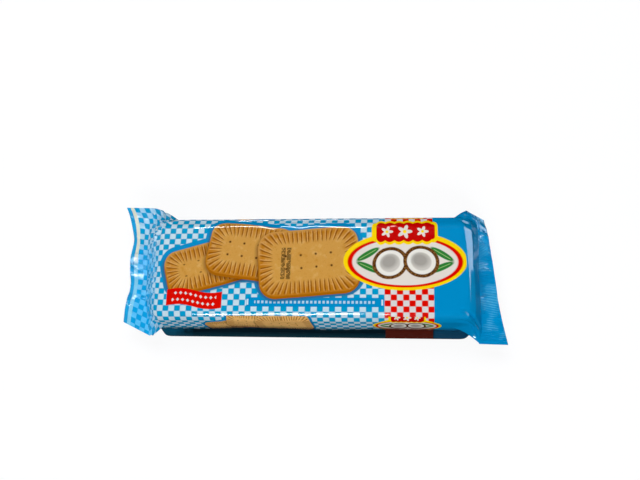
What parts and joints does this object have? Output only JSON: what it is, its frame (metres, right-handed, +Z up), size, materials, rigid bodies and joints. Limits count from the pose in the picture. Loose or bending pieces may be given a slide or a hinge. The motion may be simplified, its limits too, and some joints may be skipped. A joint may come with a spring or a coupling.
{
  "type": "biscuit packet",
  "caption": "Closed flow-wrapped film packet of biscuits, lying flat on its back seam, with a crimped seal at each end.",
  "frame": {"origin": "middle of the base, on the table the packet lies on", "axes": "+X along the pack, towards the end with the wide label. +Y towards the back long side. +Z up from the table."},
  "size_m": [0.237, 0.086, 0.027],
  "materials": {
    "printed_film": "glossy printed film"
  },
  "bodies": {
    "root": {"biscuit_pack": "printed_film"}
  },
  "joints": []
}
